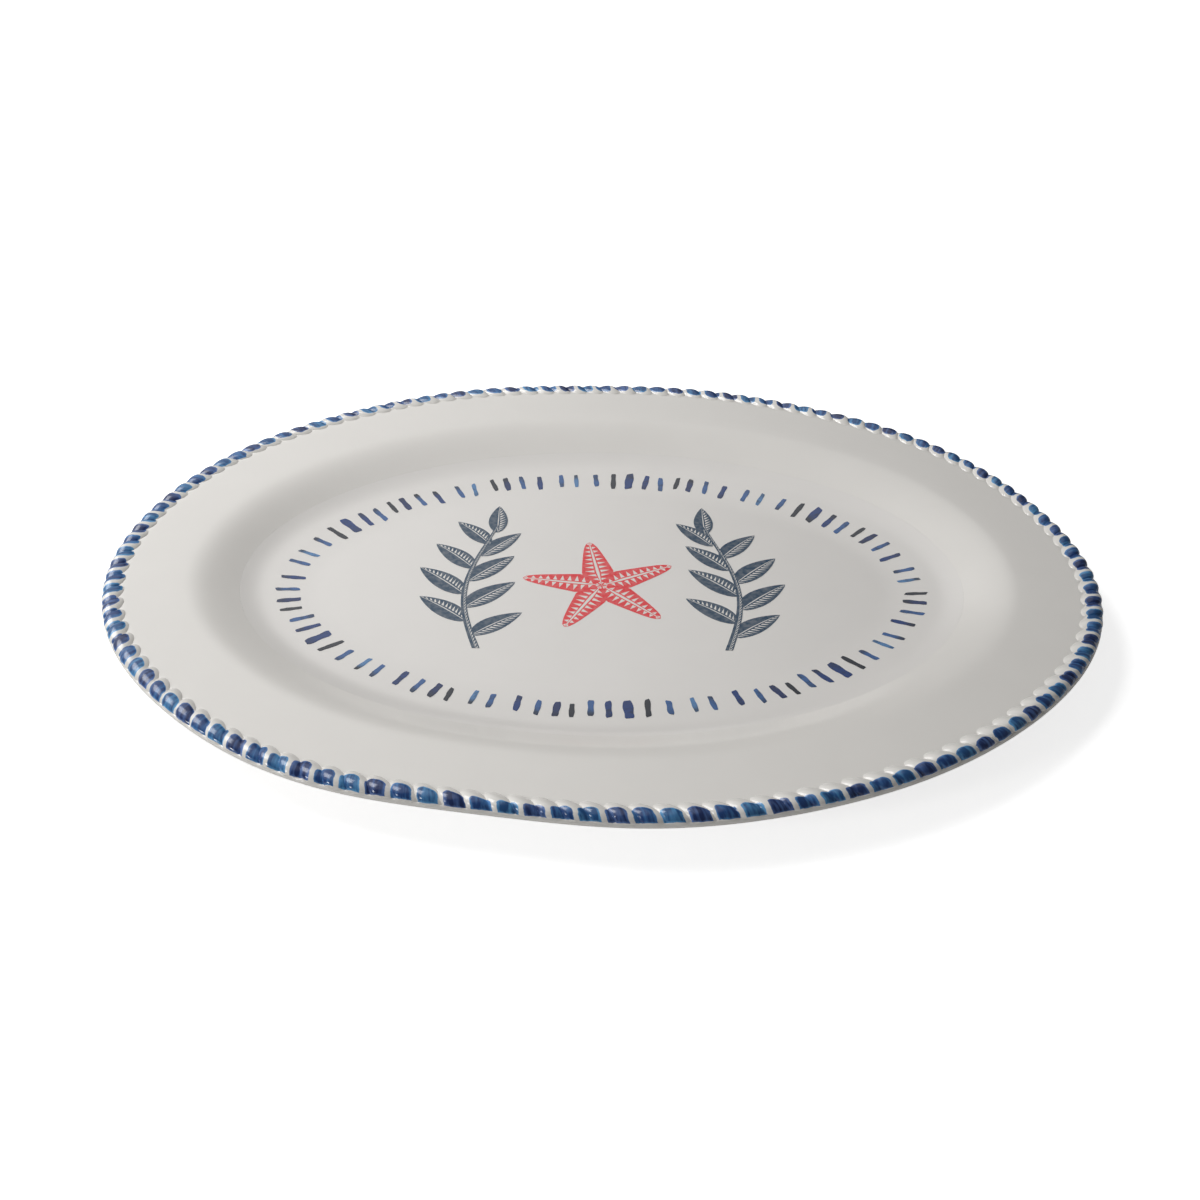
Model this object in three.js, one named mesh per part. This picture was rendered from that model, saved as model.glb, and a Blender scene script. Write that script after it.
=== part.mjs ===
// Oval serving platter with a rope edge, pressed in melamine: a dish with a wide flat flange and an oval
// well, a rope moulding round its rim, a foot ring under the well and a printed foil sheet in the well.
// Millimetres, +Z up. It stands on z = 0, its length runs along X and its width along Y.
import * as THREE from 'three';

// Outline of the rim: an oval with the slight waves of a hand-formed edge
const HALF_LENGTH = 199;
const HALF_WIDTH = 154.5;
const RIM_WAVES = [
  { count: 2, height: 0.7, crestAt: -88 },
  { count: 3, height: 0.7, crestAt: -32 },
  { count: 4, height: 0.8, crestAt: 38 },
  { count: 5, height: 0.6, crestAt: -11 },
  { count: 6, height: 0.5, crestAt: -12 },
  { count: 7, height: 0.4, crestAt: -22 },
  { count: 9, height: 0.5, crestAt: -8 },
];
// The waves die out this far inside the rim, so the well is a clean oval
const WAVES_END = 60;

// Cross-section of the dish: insets are measured inwards from the rim, heights up from the table
const FLANGE_TOP = 18.7;
const FLANGE_FALL = 0.055;
const FLANGE_END = 40;
const SLOPE_START = 31;
const SLOPE_END = 62;
const SLOPE_DEPTH = 7.8;
const CURVE_START = 45;
const FLOOR_INSET = 85;
const CURVE_DEPTH = 2.9;
const WALL = 3.3;

// Edge of the dish behind the rope, sloping outwards from the flange to the underside
const EDGE_TOP_INSET = 6.2;
const EDGE_UNDER_INSET = 3.7;

// Rope edging: slanting strands laid along the rim, closer together on the long sides than round the ends
// and a little closer at the left end than at the right. The first groove lies near the left end.
const STRANDS = 131;
const STEPS_PER_STRAND = 4;
const STRAND_SLANT = 20;
const BUNCHES = 2;
const STRAND_BUNCHING = 2.9;
const STRAND_DRIFT = 1.4;
const FIRST_GROOVE = 0.3;
// Section of the rope from its inner end over the crest and round the underside. Each corner has its
// place in the groove between two strands, and how far the middle of a strand stands out from that.
const ROPE_SECTION = [
  { inset: 7.6, height: 18.6, insetOut: 1.3, heightOut: 0 },
  { inset: 6.2, height: 18.95, insetOut: 0.5, heightOut: 0.5 },
  { inset: 3.6, height: 19.15, insetOut: 0, heightOut: 0.75 },
  { inset: 1.4, height: 18.5, insetOut: -0.4, heightOut: 0.55 },
  { inset: 0.5, height: 17.2, insetOut: -0.5, heightOut: 0.1 },
  { inset: 0.2, height: 15.6, insetOut: -0.2, heightOut: 0 },
  { inset: 0.7, height: 15, insetOut: 0, heightOut: 0 },
  { inset: 3.15, height: 15, insetOut: 0, heightOut: 0 },
  { inset: 5.75, height: 18.65, insetOut: 0, heightOut: 0 },
];
const ROPE_CREST_INSET = 3.9;

// Foot ring: its flat sole and its wider top under the well
const SOLE_OUTER_INSET = 70;
const SOLE_INNER_INSET = 74;
const FOOT_FLARE = 1.5;

// Printed foil sheet in the well
const FOIL_INSET = 52;
const FOIL_THICKNESS = 0.3;

// Clearance between pieces that touch
const GAP = 0.3;

// Fineness of the faceted surfaces
const STEPS_AROUND = 108;
const SLOPE_STEP = 4;
const ARC_SAMPLES = 4000;

const MELAMINE_WHITE = 0xe9e6e1;
const MELAMINE_BLUE_PRINT = 0x4a6f9f;
const FOIL_WHITE = 0xe4e1dc;
const GLOSS_ROUGHNESS = 0.25;

// Outward bulge of the rim at a polar angle
function rimWave(angle) {
  return RIM_WAVES.reduce((bulge, wave) => {
    const fromCrest = angle - THREE.MathUtils.degToRad(wave.crestAt);
    return bulge + wave.height * Math.cos(wave.count * fromCrest);
  }, 0);
}

// Point at a height, lying inset from the rim along the oval's own normal, at oval parameter turn
function platterPoint(turn, inset, height) {
  const x = HALF_LENGTH * Math.cos(turn);
  const y = HALF_WIDTH * Math.sin(turn);
  const outward = new THREE.Vector2(HALF_WIDTH * Math.cos(turn), HALF_LENGTH * Math.sin(turn)).normalize();
  const waveShare = Math.max(0, 1 - inset / WAVES_END);
  const out = waveShare * rimWave(Math.atan2(y, x)) - inset;
  return new THREE.Vector3(x + out * outward.x, y + out * outward.y, height);
}

// Running length of the oval through the rope's crest, from its left end anticlockwise seen from above
function measureRim() {
  const turns = [];
  const lengths = [];
  let length = 0;
  let before = null;
  for (let sample = 0; sample <= ARC_SAMPLES; sample += 1) {
    const turn = -Math.PI + (2 * Math.PI * sample) / ARC_SAMPLES;
    const point = platterPoint(turn, ROPE_CREST_INSET, 0);
    length += before ? point.distanceTo(before) : 0;
    turns.push(turn);
    lengths.push(length);
    before = point;
  }
  return { turns, lengths, total: length };
}
const rim = measureRim();

// Oval parameter at a running length along the rim
function turnAtLength(length) {
  const wrapped = THREE.MathUtils.euclideanModulo(length, rim.total);
  const after = Math.max(1, rim.lengths.findIndex((sample) => sample >= wrapped));
  const from = rim.lengths[after - 1];
  const share = (wrapped - from) / (rim.lengths[after] - from);
  return THREE.MathUtils.lerp(rim.turns[after - 1], rim.turns[after], share);
}

// Closed loop round the platter at one inset and height
function loopAt(inset, height) {
  const loop = [];
  for (let step = 0; step < STEPS_AROUND; step += 1) {
    loop.push(platterPoint(-Math.PI + (2 * Math.PI * step) / STEPS_AROUND, inset, height));
  }
  return loop;
}

// Closed surface through loops that run from the inside of the top over the rim to the inside of the
// underside. With tips the first and last loop close to a point, and without them they join each other.
function solidFromLoops(loops, topTip, underTip) {
  const around = loops[0].length;
  const corners = loops.flat();
  const cornerAt = (loop, step) => loop * around + (step % around);
  const faces = [];
  const bands = topTip ? loops.length - 1 : loops.length;
  for (let band = 0; band < bands; band += 1) {
    const next = (band + 1) % loops.length;
    for (let step = 0; step < around; step += 1) {
      const here = cornerAt(band, step);
      const beside = cornerAt(band, step + 1);
      const outer = cornerAt(next, step);
      const outerBeside = cornerAt(next, step + 1);
      faces.push(here, outer, outerBeside, here, outerBeside, beside);
    }
  }
  if (topTip) {
    const top = corners.push(topTip) - 1;
    const under = corners.push(underTip) - 1;
    const last = loops.length - 1;
    for (let step = 0; step < around; step += 1) {
      faces.push(top, cornerAt(0, step), cornerAt(0, step + 1));
      faces.push(under, cornerAt(last, step + 1), cornerAt(last, step));
    }
  }
  const geometry = new THREE.BufferGeometry().setFromPoints(corners);
  geometry.setIndex(faces);
  geometry.computeVertexNormals();
  return geometry;
}

function namedMesh(name, geometry, color) {
  const material = new THREE.MeshStandardMaterial({ color, roughness: GLOSS_ROUGHNESS, metalness: 0 });
  const mesh = new THREE.Mesh(geometry, material);
  mesh.name = name;
  return mesh;
}

// Finished upper surface: a flange that falls slightly inwards and levels out under the slope, a soft slope
// that runs out in a long shallow curve, and a flat floor
function dishTop(inset) {
  const fadeWidth = SLOPE_END - FLANGE_END;
  const fade = THREE.MathUtils.clamp((inset - FLANGE_END) / fadeWidth, 0, 1);
  const fallRun = Math.min(inset, SLOPE_END) - fadeWidth * (fade ** 3 - fade ** 4 / 2);
  const slope = SLOPE_DEPTH * THREE.MathUtils.smoothstep(inset, SLOPE_START, SLOPE_END);
  const curve = CURVE_DEPTH * THREE.MathUtils.smoothstep(inset, CURVE_START, FLOOR_INSET);
  return FLANGE_TOP - FLANGE_FALL * fallRun - slope - curve;
}

function underside(inset) {
  return dishTop(inset) - WALL;
}

function loopsBetween(fromInset, toInset, heightAt) {
  const steps = Math.round(Math.abs(toInset - fromInset) / SLOPE_STEP);
  const loops = [];
  for (let step = 0; step <= steps; step += 1) {
    const inset = THREE.MathUtils.lerp(fromInset, toInset, step / steps);
    loops.push(loopAt(inset, heightAt(inset)));
  }
  return loops;
}

// Dish with a shallow recess for the foil and a sloping edge for the rope
function platterBody() {
  const recess = FOIL_THICKNESS + GAP;
  const recessEdge = FOIL_INSET - GAP;
  const recessTop = (inset) => dishTop(inset) - recess;
  const loops = [
    ...loopsBetween(FLOOR_INSET, recessEdge, recessTop),
    ...loopsBetween(recessEdge, SLOPE_START, dishTop),
    loopAt(EDGE_TOP_INSET, dishTop(EDGE_TOP_INSET)),
    loopAt(EDGE_UNDER_INSET, underside(EDGE_UNDER_INSET)),
    ...loopsBetween(SLOPE_START, FLOOR_INSET, underside),
  ];
  const middleOfRecess = new THREE.Vector3(0, 0, recessTop(FLOOR_INSET));
  const middleUnder = new THREE.Vector3(0, 0, underside(FLOOR_INSET));
  const geometry = solidFromLoops(loops, middleOfRecess, middleUnder);
  return namedMesh('platter_body', geometry, MELAMINE_WHITE);
}

function wellFoil() {
  const foilUnderside = (inset) => dishTop(inset) - FOIL_THICKNESS;
  const loops = [
    ...loopsBetween(FLOOR_INSET, FOIL_INSET, dishTop),
    ...loopsBetween(FOIL_INSET, FLOOR_INSET, foilUnderside),
  ];
  const middleTop = new THREE.Vector3(0, 0, dishTop(FLOOR_INSET));
  const middleUnder = new THREE.Vector3(0, 0, foilUnderside(FLOOR_INSET));
  return namedMesh('well_foil', solidFromLoops(loops, middleTop, middleUnder), FOIL_WHITE);
}

// One corner of the rope's section carried along the rim, rising and sinking with the strands
function ropeLoop(corner) {
  const loop = [];
  const steps = STRANDS * STEPS_PER_STRAND;
  const slope = Math.tan(THREE.MathUtils.degToRad(STRAND_SLANT));
  for (let step = 0; step < steps; step += 1) {
    const lap = step / steps;
    const ridge = Math.sin((Math.PI * (step % STEPS_PER_STRAND)) / STEPS_PER_STRAND);
    const inset = corner.inset + ridge * corner.insetOut;
    const bunching = STRAND_BUNCHING * Math.sin(2 * Math.PI * BUNCHES * lap);
    const drift = STRAND_DRIFT * Math.sin(2 * Math.PI * lap);
    const lean = slope * (ROPE_CREST_INSET - inset);
    const turn = turnAtLength(lap * rim.total + FIRST_GROOVE + bunching - drift + lean);
    loop.push(platterPoint(turn, inset, corner.height + ridge * corner.heightOut));
  }
  return loop;
}

function ropeEdging() {
  const loops = ROPE_SECTION.map((corner) => ropeLoop(corner));
  return namedMesh('rope_edging', solidFromLoops(loops), MELAMINE_BLUE_PRINT);
}

// Foot ring with its top following the underside of the dish
function footRing() {
  const topInner = SOLE_INNER_INSET + FOOT_FLARE;
  const topOuter = SOLE_OUTER_INSET - FOOT_FLARE;
  const loops = [
    loopAt(topInner, underside(topInner) - GAP),
    loopAt(topOuter, underside(topOuter) - GAP),
    loopAt(SOLE_OUTER_INSET, 0),
    loopAt(SOLE_INNER_INSET, 0),
  ];
  return namedMesh('foot_ring', solidFromLoops(loops), MELAMINE_WHITE);
}

const platter = new THREE.Group();
platter.add(platterBody(), ropeEdging(), footRing(), wellFoil());

// The rim's waves are uneven, so the platter is moved to centre its outline on the origin
const middle = new THREE.Box3().setFromObject(platter).getCenter(new THREE.Vector3());
platter.position.set(-middle.x, -middle.y, 0);

export default platter;
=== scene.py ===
# Oval serving platter with a rope edge, pressed in melamine: a glossy white dish with a printed well,
# a moulded rope with blue brush strokes round its rim and a foot ring. Metres, +Z up, standing on z = 0.
import math
import random

import bmesh
import bpy
import numpy as np
from mathutils import Matrix, Vector


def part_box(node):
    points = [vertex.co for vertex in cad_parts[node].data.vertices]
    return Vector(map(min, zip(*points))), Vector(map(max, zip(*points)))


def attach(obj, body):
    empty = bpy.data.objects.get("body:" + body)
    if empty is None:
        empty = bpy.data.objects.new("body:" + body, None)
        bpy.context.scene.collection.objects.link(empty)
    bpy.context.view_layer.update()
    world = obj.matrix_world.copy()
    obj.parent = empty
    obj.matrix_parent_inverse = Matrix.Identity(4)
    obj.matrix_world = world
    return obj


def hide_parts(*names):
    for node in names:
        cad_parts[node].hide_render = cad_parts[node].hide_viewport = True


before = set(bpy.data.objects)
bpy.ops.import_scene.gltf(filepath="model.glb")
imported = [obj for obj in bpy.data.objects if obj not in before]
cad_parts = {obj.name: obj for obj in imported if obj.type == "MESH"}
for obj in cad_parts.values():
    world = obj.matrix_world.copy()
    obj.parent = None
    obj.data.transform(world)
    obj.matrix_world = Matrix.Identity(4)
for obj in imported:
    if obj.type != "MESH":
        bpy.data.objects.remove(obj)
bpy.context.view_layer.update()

MM = 0.001

# The rim is an oval round the foot ring, whose outer edge lies this far inside it
FOOT_TOP_INSET = 68.5 * MM
foot_low, foot_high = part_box("foot_ring")
HALF_LENGTH = (foot_high.x - foot_low.x) / 2 + FOOT_TOP_INSET
HALF_WIDTH = (foot_high.y - foot_low.y) / 2 + FOOT_TOP_INSET
CENTRE = np.array([foot_low.x + foot_high.x, foot_low.y + foot_high.y]) / 2
STEPS_AROUND = 360
# It has the slight waves of a hand-formed edge, which fade out inwards: how many crests each wave has
# round the platter, its height and the polar angle of one crest
RIM_WAVES = (
    (2, 0.7 * MM, -88),
    (3, 0.7 * MM, -32),
    (4, 0.8 * MM, 38),
    (5, 0.6 * MM, -11),
    (6, 0.5 * MM, -12),
    (7, 0.4 * MM, -22),
    (9, 0.5 * MM, -8),
)
WAVES_END = 60 * MM
# Fineness of the two measurements on the oval: its nearest point to a spot, and the length along it
NEAREST_STEPS = 12
LEAST_STIFFNESS = 0.05 * HALF_WIDTH ** 2
RUN_POINTS = 4001
# Vertices closer than this are one
SEAM_GAP = 0.002 * MM

# Cross-section of the dish: insets are measured inwards from the rim, heights up from the table
FLANGE_TOP = 18.7 * MM
FLANGE_FALL = 0.055
FLANGE_END = 40 * MM
SLOPE_START = 31 * MM
SLOPE_END = 62 * MM
SLOPE_DEPTH = 7.8 * MM
CURVE_START = 45 * MM
FLOOR_INSET = 85 * MM
CURVE_DEPTH = 2.9 * MM
WALL = 3.3 * MM
SLOPE_STEP = 2 * MM
FLANGE_STEP = 5 * MM
# Lip that carries the rope, from its widest line over its edge and under it: insets and heights in
# millimetres
LIP_WIDEST = 15.7 * MM
LIP_OVER = (
    (0.03, 16.2), (0.18, 16.6), (0.5, 16.85), (1.2, 16.9), (3.6, 16.9),
    (4.8, 17.5), (5.4, 18.1), (6.2, 18.35), (9.4, 18.18),
)
LIP_UNDER = ((0.06, 15.3), (0.22, 15.05), (0.55, 14.88), (1.1, 14.8), (2.6, 14.8), (6, 14.95))

# Foil sheet in the well: it lies in a recess, slightly proud of the dish, and has a soft edge. The edge is
# given as the way in from its outline and the height over the dish, in millimetres
FOIL_INSET = 52 * MM
FOIL_PROUD = 0.05 * MM
FOIL_THICKNESS = 0.3 * MM
FOIL_RECESS = FOIL_THICKNESS - FOIL_PROUD
RECESS_EDGE = 0.02 * MM
FOIL_EDGE = ((0.02, -0.01), (0.5, 0.01), (1.4, 0.03), (3, 0.045))
# Films of print on the foil: the height of their upper face over it, and their thickness
PRINT_LIFT = 0.05 * MM
PRINT_THICKNESS = 0.03 * MM

# Foot ring: its section from the outer top edge over the flat sole to the inner top edge, in millimetres
FOOT_SECTION = (
    (67.6, 3.9), (68.9, 2.6), (69.6, 1.2), (70, 0.4), (70.5, 0),
    (73.5, 0), (74, 0.4), (74.4, 1.2), (75.1, 2.2), (76.4, 3),
)

# Rope: slanting strands laid along the rim, closer together on the long sides than round the ends and a
# little closer at the left end than at the right
STRANDS = 131
STRAND_SLANT = math.radians(22)
BUNCHES = 2
STRAND_BUNCHING = 2.9 * MM
STRAND_DRIFT = 1.4 * MM
FIRST_GROOVE = 0.3 * MM
# Its crest: the inset, and how far over the section it lies from the foot in the lip
ROPE_CREST_INSET = 3.9 * MM
ROPE_CREST_OVER = 7.9 * MM
# Section of the rope from its foot in the lip over the crest to its foot in the flange and back inside the
# dish: inset and height along the back of a strand, then in the groove beside it, in millimetres
ROPE_SECTION = (
    (1.6, 15.6, 1.8, 15.6),
    (0.5, 15.9, 1.1, 15.9),
    (0.05, 16.6, 0.8, 16.5),
    (-0.05, 17.3, 0.9, 17.1),
    (0.2, 18.1, 1.2, 17.7),
    (0.9, 19, 1.75, 18.25),
    (2, 19.65, 2.5, 18.7),
    (3.4, 19.9, 3.5, 19),
    (4.9, 19.75, 4.7, 18.85),
    (6.3, 19.4, 5.7, 18.6),
    (7.5, 18.9, 6.4, 18.35),
    (8.4, 18.4, 6.9, 18.1),
    (8.8, 17.9, 7.1, 17.8),
    (8.4, 17.3, 6.9, 17.3),
    (5, 16.4, 5, 16.4),
    (3, 15.8, 3, 15.8),
)
SECTION_FINENESS = 2
# Where along its pitch a strand has rings of corners, and how it swells between two grooves
STRAND_STEPS = (0.05, 0.11, 0.19, 0.29, 0.41, 0.54, 0.67, 0.79, 0.9, 1)
SWELL_SKEW = 0.78
SWELL_FULLNESS = 0.85
# Keeps the first ring of a strand from counting as the last of the strand before
PHASE_NUDGE = 1e-4
STRAND_SEAM_GAP = 0.005 * MM

# Blue strokes brushed over the rope: they start just above the lip and reach furthest inwards round the
# ends and least at the front. Their lower edge arches up on the back of each strand, and the arch fades
# inwards
STROKES = 123
FIRST_STROKE = 0.078
STROKE_SHARE = 0.83
STROKE_SLANT = math.radians(14)
STROKE_FROM = 2.15 * MM
STROKE_ARCH = 0.9 * MM
STROKE_ARCH_FADE = 0.8
STROKE_LENGTH = 8 * MM
# How far over the rope the strokes reach, by share of the lap from the left end anticlockwise, in
# millimetres
STROKE_REACH = (
    (0, 12.8), (0.05, 11), (0.1, 9.8), (0.16, 10.4), (0.19, 9.8), (0.215, 7.6), (0.235, 7.6), (0.255, 9.2),
    (0.28, 9), (0.32, 8), (0.37, 7.5), (0.42, 9.3), (0.45, 10.4), (0.49, 11.6), (0.58, 10.8), (0.75, 11.2),
    (0.88, 10.8), (0.95, 12),
)

random.seed(8)


def linear(hexcode):
    """Linear colour of an sRGB hex value"""
    values = [int(hexcode[at:at + 2], 16) / 255 for at in (1, 3, 5)]
    return [v / 12.92 if v <= 0.04045 else ((v + 0.055) / 1.055) ** 2.4 for v in values] + [1]


def node(tree, kind, inputs=None, **settings):
    """Adds a node with its settings. An input is given a value, or another node's output to link"""
    made = tree.nodes.new(kind)
    for name, value in settings.items():
        setattr(made, name, value)
    for name, value in (inputs or {}).items():
        if isinstance(value, bpy.types.NodeSocket):
            tree.links.new(value, made.inputs[name])
        else:
            made.inputs[name].default_value = value
    return made


# Shapes shared by the pieces

def on_oval(turn):
    """Points of the rim oval and their outward normals, at oval parameters"""
    point = np.stack([HALF_LENGTH * np.cos(turn), HALF_WIDTH * np.sin(turn)], -1)
    outward = np.stack([HALF_WIDTH * np.cos(turn), HALF_LENGTH * np.sin(turn)], -1)
    return point, outward / np.linalg.norm(outward, axis=-1, keepdims=True)


def turn_and_inset(spots):
    """Oval parameter nearest to each spot in plan, and how far the spot lies inside the rim"""
    turn = np.arctan2(spots[:, 1] * HALF_LENGTH, spots[:, 0] * HALF_WIDTH)
    flattening = HALF_LENGTH ** 2 - HALF_WIDTH ** 2
    for _ in range(NEAREST_STEPS):
        along, across = np.cos(turn), np.sin(turn)
        pull = spots[:, 0] * HALF_LENGTH * across - spots[:, 1] * HALF_WIDTH * along
        pull -= flattening * across * along
        stiffness = spots[:, 0] * HALF_LENGTH * along + spots[:, 1] * HALF_WIDTH * across
        stiffness -= flattening * (along ** 2 - across ** 2)
        turn = turn - pull / np.maximum(stiffness, LEAST_STIFFNESS)
    point, outward = on_oval(turn)
    return turn, -((spots - point) * outward).sum(1)


def spots_of(piece):
    """Places of a piece's vertices, a row each"""
    spots = np.empty(3 * len(piece.data.vertices))
    piece.data.vertices.foreach_get("co", spots)
    return spots.reshape(-1, 3)


def put_spots(piece, spots):
    """Moves a piece's vertices to the given places"""
    piece.data.vertices.foreach_set("co", spots.ravel())
    piece.data.update()


def fill_map(piece, layer, places):
    """Writes a place for each vertex of a piece into one of its maps"""
    corners = np.empty(len(piece.data.loops), int)
    piece.data.loops.foreach_get("vertex_index", corners)
    layer.data.foreach_set("uv", places[corners].ravel())


def form_rim(piece):
    """Gives a piece modelled on the clean oval the waves of the rim, and moves it to its place"""
    spots = spots_of(piece)
    turn, inset = turn_and_inset(spots[:, :2])
    point, outward = on_oval(turn)
    angle = np.arctan2(point[:, 1], point[:, 0])
    wave = 0
    for count, height, crest in RIM_WAVES:
        wave = wave + height * np.cos(count * (angle - math.radians(crest)))
    share = np.maximum(0, 1 - inset / WAVES_END)
    spots[:, :2] += outward * (share * wave)[:, None] + CENTRE
    put_spots(piece, spots)


def running_length(points):
    """Length along a line of points, from its first one"""
    steps = np.linalg.norm(np.diff(points, axis=0), axis=1)
    return np.concatenate([[0], np.cumsum(steps)])


def measure_run(inset):
    """Oval parameters and running lengths of a line inside the rim, from its left end anticlockwise"""
    turns = np.linspace(-math.pi, math.pi, RUN_POINTS)
    point, outward = on_oval(turns)
    return turns, running_length(point - inset * outward)


def turn_at(measured, length):
    """Oval parameter at a length along a measured line, which goes round and round"""
    turns, run = measured
    return np.interp(np.mod(length, run[-1]), run, turns)


def ease(value, start, end):
    """Soft step from 0 at the start to 1 at the end"""
    share = np.clip((value - start) / (end - start), 0, 1)
    return share * share * (3 - 2 * share)


def dish_top(inset):
    """Height of the finished upper surface: a flange that falls slightly inwards and levels out under the
    slope, a soft slope that runs out in a long shallow curve, and a flat floor"""
    fade_width = SLOPE_END - FLANGE_END
    fade = np.clip((inset - FLANGE_END) / fade_width, 0, 1)
    fall_run = np.minimum(inset, SLOPE_END) - fade_width * (fade ** 3 - fade ** 4 / 2)
    slope = SLOPE_DEPTH * ease(inset, SLOPE_START, SLOPE_END)
    curve = CURVE_DEPTH * ease(inset, CURVE_START, FLOOR_INSET)
    return FLANGE_TOP - FLANGE_FALL * fall_run - slope - curve


FLOOR_TOP = float(dish_top(FLOOR_INSET))


def dish_section(start, end, step, rise=0):
    """Section along the upper surface of the dish from after start up to end, raised by the given rise"""
    count = max(1, round((end - start) / step))
    insets = [start + (end - start) * at / count for at in range(1, count + 1)]
    return [(inset, dish_top(inset) + rise) for inset in insets]


def in_metres(section):
    return [(inset * MM, height * MM) for inset, height in section]


def select_where(piece, test):
    """In edit mode, selects the vertices whose place passes the test, with the faces between them"""
    shape = bmesh.from_edit_mesh(piece.data)
    for vertex in shape.verts:
        vertex.select = test(vertex.co)
    shape.select_flush(True)
    shape.select_flush(False)
    bmesh.update_edit_mesh(piece.data)


def add_oval(height, face_down=False):
    """In edit mode, adds a flat oval sheet on the line of the rim, with only its face selected"""
    bpy.ops.mesh.select_all(action="DESELECT")
    bpy.ops.mesh.primitive_circle_add(vertices=STEPS_AROUND, radius=1, fill_type="NGON")
    bpy.ops.transform.resize(value=(HALF_LENGTH, HALF_WIDTH, 1))
    bpy.ops.transform.translate(value=(0, 0, height))
    if face_down:
        bpy.ops.mesh.flip_normals()


def step_inwards(section, inset, height, face_down=False):
    """Insets the selected oval face along a section of insets and heights, from where it is now"""
    for next_inset, next_height in section:
        rise = next_height - height
        bpy.ops.mesh.inset(thickness=next_inset - inset, depth=-rise if face_down else rise)
        inset, height = next_inset, next_height


def delete_rim_band(piece, inset):
    """In edit mode, deletes the rim's own line, which is left outside the first inset"""
    edge = (1 - inset / HALF_WIDTH / 4) ** 2
    select_where(piece, lambda spot: (spot.x / HALF_LENGTH) ** 2 + (spot.y / HALF_WIDTH) ** 2 > edge)
    bpy.ops.mesh.delete(type="VERT")


def new_piece(name):
    """Starts an empty piece in edit mode"""
    bpy.ops.object.select_all(action="DESELECT")
    bpy.ops.mesh.primitive_plane_add(size=1)
    piece = bpy.context.object
    piece.name = name
    piece.data.name = name
    bpy.ops.object.mode_set(mode="EDIT")
    bpy.ops.mesh.delete(type="VERT")
    return piece


def close_piece():
    """Merges the seams of the piece in edit mode, turns its faces outwards and leaves edit mode"""
    bpy.ops.mesh.select_all(action="SELECT")
    bpy.ops.mesh.remove_doubles(threshold=SEAM_GAP)
    bpy.ops.mesh.normals_make_consistent(inside=False)
    bpy.ops.object.mode_set(mode="OBJECT")


def keep_piece(piece, material, stands_for=None, crease=math.radians(50)):
    """Finishes a piece with its material, puts it on its body, and hides the CAD solid that it stands for
    """
    bpy.ops.object.select_all(action="DESELECT")
    piece.select_set(True)
    bpy.context.view_layer.objects.active = piece
    bpy.ops.object.shade_smooth_by_angle(angle=crease)
    piece.data.materials.clear()
    piece.data.materials.append(material)
    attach(piece, "root")
    if stands_for:
        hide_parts(stands_for)


# Dish, foil and foot ring

def press_dish():
    """The dish with its lip, its well and the recess for the foil"""
    dish = new_piece("platter_dish")
    over = in_metres(LIP_OVER)
    over += dish_section(over[-1][0], SLOPE_START, FLANGE_STEP)
    over += dish_section(SLOPE_START, FOIL_INSET, SLOPE_STEP)
    over += [(FOIL_INSET + RECESS_EDGE, dish_top(FOIL_INSET) - FOIL_RECESS)]
    over += dish_section(FOIL_INSET, FLOOR_INSET, SLOPE_STEP, -FOIL_RECESS)
    under = in_metres(LIP_UNDER)
    under += dish_section(under[-1][0], SLOPE_START, FLANGE_STEP, -WALL)
    under += dish_section(SLOPE_START, FLOOR_INSET, SLOPE_STEP, -WALL)
    for section, face_down in ((over, False), (under, True)):
        add_oval(LIP_WIDEST, face_down)
        step_inwards(section, 0, LIP_WIDEST, face_down)
    close_piece()
    form_rim(dish)
    return dish


def lay_foil():
    """The foil sheet in its recess"""
    foil = new_piece("well_foil_sheet")
    start = dish_top(FOIL_INSET) - FOIL_RECESS
    over = []
    for inset, rise in in_metres(FOIL_EDGE):
        over.append((FOIL_INSET + inset, dish_top(FOIL_INSET + inset) + rise))
    over += dish_section(over[-1][0], FLOOR_INSET, SLOPE_STEP, FOIL_PROUD)
    under = dish_section(FOIL_INSET, FLOOR_INSET, SLOPE_STEP, -FOIL_RECESS)
    for section, face_down in ((over, False), (under, True)):
        add_oval(start, face_down)
        bpy.ops.mesh.inset(thickness=FOIL_INSET)
        step_inwards(section, FOIL_INSET, start, face_down)
    delete_rim_band(foil, FOIL_INSET)
    close_piece()
    form_rim(foil)
    return foil


def turn_foot():
    """The foot ring, whose top reaches into the dish"""
    foot = new_piece("platter_foot")
    section = in_metres(FOOT_SECTION)
    start_inset, start_height = section[0]
    add_oval(start_height, face_down=True)
    bpy.ops.mesh.inset(thickness=start_inset)
    step_inwards(section[1:], start_inset, start_height, face_down=True)
    bpy.ops.mesh.delete(type="FACE")
    delete_rim_band(foot, start_inset)
    bpy.ops.mesh.select_all(action="DESELECT")
    bpy.ops.mesh.select_mode(type="EDGE")
    bpy.ops.mesh.select_non_manifold()
    bpy.ops.mesh.bridge_edge_loops()
    bpy.ops.mesh.select_mode(type="VERT")
    close_piece()
    form_rim(foot)
    return foot


# Rope

def smooth_loop(corners, fineness):
    """Closed loop through the given corners with softly curved steps between them"""
    before, after, beyond = np.roll(corners, 1, 0), np.roll(corners, -1, 0), np.roll(corners, -2, 0)
    steps = []
    for step in range(fineness):
        t = step / fineness
        bend = 2 * before - 5 * corners + 4 * after - beyond
        twist = 3 * corners - before - 3 * after + beyond
        steps.append(corners + t / 2 * (after - before + t * (bend + t * twist)))
    return np.stack(steps, 1).reshape(-1, corners.shape[1])


def swell(phase):
    """How far a strand stands out along its pitch: up steeply from the groove, and down in a long back"""
    return np.sin(np.pi * phase ** SWELL_SKEW) ** SWELL_FULLNESS


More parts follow.
